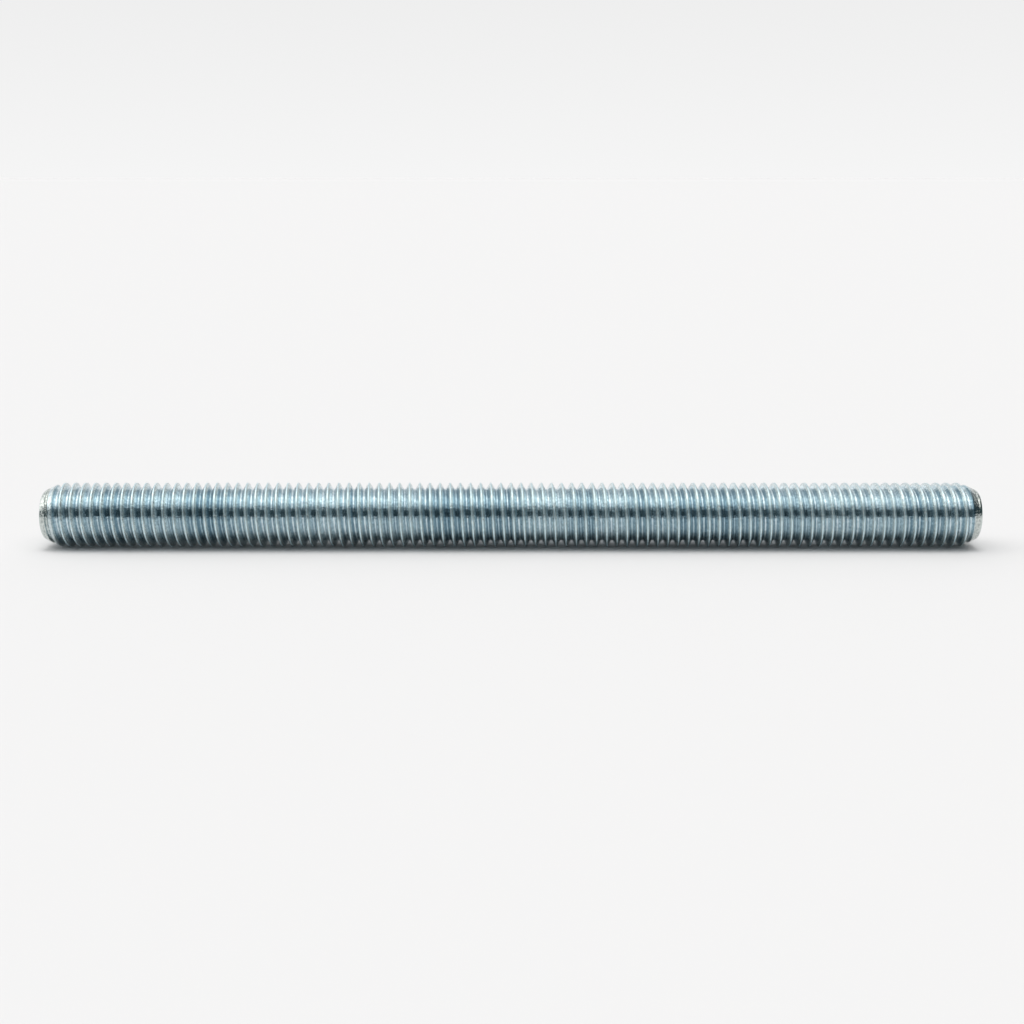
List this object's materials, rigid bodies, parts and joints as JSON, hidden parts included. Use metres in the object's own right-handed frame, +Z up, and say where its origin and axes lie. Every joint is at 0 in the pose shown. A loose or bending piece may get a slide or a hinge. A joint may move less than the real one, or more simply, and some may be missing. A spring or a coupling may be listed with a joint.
{
  "type": "threaded rod",
  "caption": "Fully threaded steel rod with a right-hand metric coarse thread, chamfered ends and bright zinc plating.",
  "frame": {"origin": "middle of the rod's length, on the surface that it lies on", "axes": "+X along the rod's axis, +Z up"},
  "size_m": [0.115, 0.0078, 0.0079],
  "materials": {
    "zinc_plated_steel": "bright blue-passivated zinc plating"
  },
  "bodies": {
    "root": {"threaded_rod": "zinc_plated_steel"}
  },
  "joints": []
}
